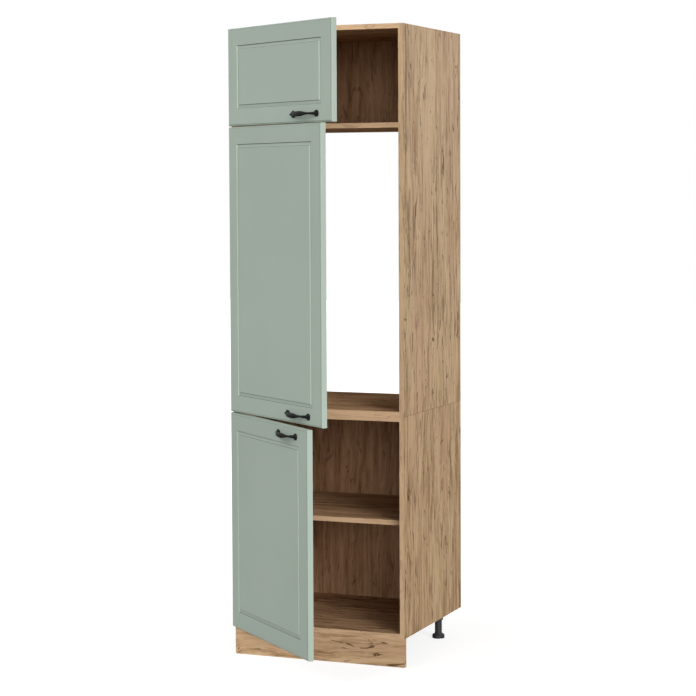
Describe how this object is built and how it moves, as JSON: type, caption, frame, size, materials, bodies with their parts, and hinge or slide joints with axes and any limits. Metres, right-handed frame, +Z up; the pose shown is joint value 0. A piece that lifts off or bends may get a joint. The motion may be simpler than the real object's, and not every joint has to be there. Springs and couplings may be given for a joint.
{
  "type": "fridge housing unit",
  "caption": "Tall kitchen housing for a built-in fridge: oak-look carcass with open niche, shelf, plinth and feet, and framed hinged doors with dark pulls.",
  "frame": {"origin": "on the floor in the middle of the unit's width, on the lower front edge of the plinth", "axes": "+X to the right across the front, +Y to the back, +Z up"},
  "size_m": [0.6006, 0.9784, 2.068],
  "materials": {
    "oak_board": "oak-look melamine, matt",
    "back_board": "oak-look foil on thin board",
    "door_foil": "sage green foil on fibreboard, silky matt",
    "blackened_metal": "hammered black",
    "black_plastic": "moulded black",
    "nickel_steel": "nickel plated",
    "screw_steel": "zinc plated",
    "zinc": "die-cast",
    "beech": "fluted beech",
    "clear_bumper": "soft translucent"
  },
  "bodies": {
    "carcass": {"bottom_panel": "oak_board", "bracket_screws": "screw_steel", "cabinet_screws": "screw_steel", "cam_bolts": "screw_steel", "cam_housings": "zinc", "foot_sockets": "black_plastic", "front_left_foot": "black_plastic", "front_right_foot": "black_plastic", "hinge_arm_screws": "screw_steel", "hinge_plate_screws": "screw_steel", "low_hinge_arms": "nickel_steel", "low_hinge_plates": "nickel_steel", "lower_back_panel": "back_board", "lower_left_side": "oak_board", "lower_right_side": "oak_board", "lower_shelf": "oak_board", "lower_top_panel": "oak_board", "middle_hinge_arms": "nickel_steel", "middle_hinge_plates": "nickel_steel", "niche_ceiling": "oak_board", "niche_floor": "oak_board", "plinth": "oak_board", "plinth_clips": "black_plastic", "rear_left_foot": "black_plastic", "rear_right_foot": "black_plastic", "shelf_pins": "nickel_steel", "top_back_panel": "back_board", "top_hinge_arms": "nickel_steel", "top_hinge_plates": "nickel_steel", "top_panel": "oak_board", "upper_left_side": "oak_board", "upper_right_side": "oak_board", "wall_brackets": "nickel_steel", "wooden_dowels": "beech"},
    "top_door_leaf": {"top_cup_screws": "screw_steel", "top_door": "door_foil", "top_door_buffers": "clear_bumper", "top_handle": "blackened_metal", "top_handle_screws": "screw_steel", "top_hinge_cups": "nickel_steel"},
    "top_long_link_set": {"top_long_links": "nickel_steel"},
    "top_short_link_set": {"top_short_links": "nickel_steel"},
    "middle_door_leaf": {"middle_cup_screws": "screw_steel", "middle_door": "door_foil", "middle_door_buffers": "clear_bumper", "middle_handle": "blackened_metal", "middle_handle_screws": "screw_steel", "middle_hinge_cups": "nickel_steel"},
    "middle_long_link_set": {"middle_long_links": "nickel_steel"},
    "middle_short_link_set": {"middle_short_links": "nickel_steel"},
    "low_door_leaf": {"low_cup_screws": "screw_steel", "low_door": "door_foil", "low_door_buffers": "clear_bumper", "low_handle": "blackened_metal", "low_handle_screws": "screw_steel", "low_hinge_cups": "nickel_steel"},
    "low_long_link_set": {"low_long_links": "nickel_steel"},
    "low_short_link_set": {"low_short_links": "nickel_steel"}
  },
  "joints": [
    {"name": "top_door_swing", "type": "hinge", "parent": "top_long_link_set", "child": "top_door_leaf", "pos_m": [-0.28798, -0.01324, 1.907], "axis": [0, 0, -1], "range_deg": [-49.17, 96.85]},
    {"name": "top_long_link_turn", "type": "hinge", "parent": "carcass", "child": "top_long_link_set", "pos_m": [-0.264, 0.001, 1.907], "axis": [0, 0, -1], "range_deg": [-31.95, 16.27]},
    {"name": "top_short_link_turn", "type": "hinge", "parent": "carcass", "child": "top_short_link_set", "pos_m": [-0.2601, 0.0043, 1.907], "axis": [0, 0, -1], "range_deg": [-23.5, 11.98]},
    {"name": "middle_door_swing", "type": "hinge", "parent": "middle_long_link_set", "child": "middle_door_leaf", "pos_m": [-0.28748, -0.01405, 1.2795], "axis": [0, 0, -1], "range_deg": [-55.13, 90.89]},
    {"name": "middle_long_link_turn", "type": "hinge", "parent": "carcass", "child": "middle_long_link_set", "pos_m": [-0.264, 0.001, 1.2795], "axis": [0, 0, -1], "range_deg": [-29.99, 18.23]},
    {"name": "middle_short_link_turn", "type": "hinge", "parent": "carcass", "child": "middle_short_link_set", "pos_m": [-0.2601, 0.0043, 1.2795], "axis": [0, 0, -1], "range_deg": [-22.06, 13.42]},
    {"name": "low_door_swing", "type": "hinge", "parent": "low_long_link_set", "child": "low_door_leaf", "pos_m": [-0.28682, -0.01504, 0.4535], "axis": [0, 0, -1], "range_deg": [-62.58, 83.44]},
    {"name": "low_long_link_turn", "type": "hinge", "parent": "carcass", "child": "low_long_link_set", "pos_m": [-0.264, 0.001, 0.4535], "axis": [0, 0, -1], "range_deg": [-27.54, 20.68]},
    {"name": "low_short_link_turn", "type": "hinge", "parent": "carcass", "child": "low_short_link_set", "pos_m": [-0.2601, 0.0043, 0.4535], "axis": [0, 0, -1], "range_deg": [-20.26, 15.22]}
  ],
  "couplings": [
    {"joint": "top_long_link_turn", "follows": "top_door_swing", "ratio": -0.32886},
    {"joint": "top_short_link_turn", "follows": "top_door_swing", "ratio": -0.24161},
    {"joint": "middle_long_link_turn", "follows": "middle_door_swing", "ratio": -0.32886},
    {"joint": "middle_short_link_turn", "follows": "middle_door_swing", "ratio": -0.24161},
    {"joint": "low_long_link_turn", "follows": "low_door_swing", "ratio": -0.32886},
    {"joint": "low_short_link_turn", "follows": "low_door_swing", "ratio": -0.24161}
  ]
}
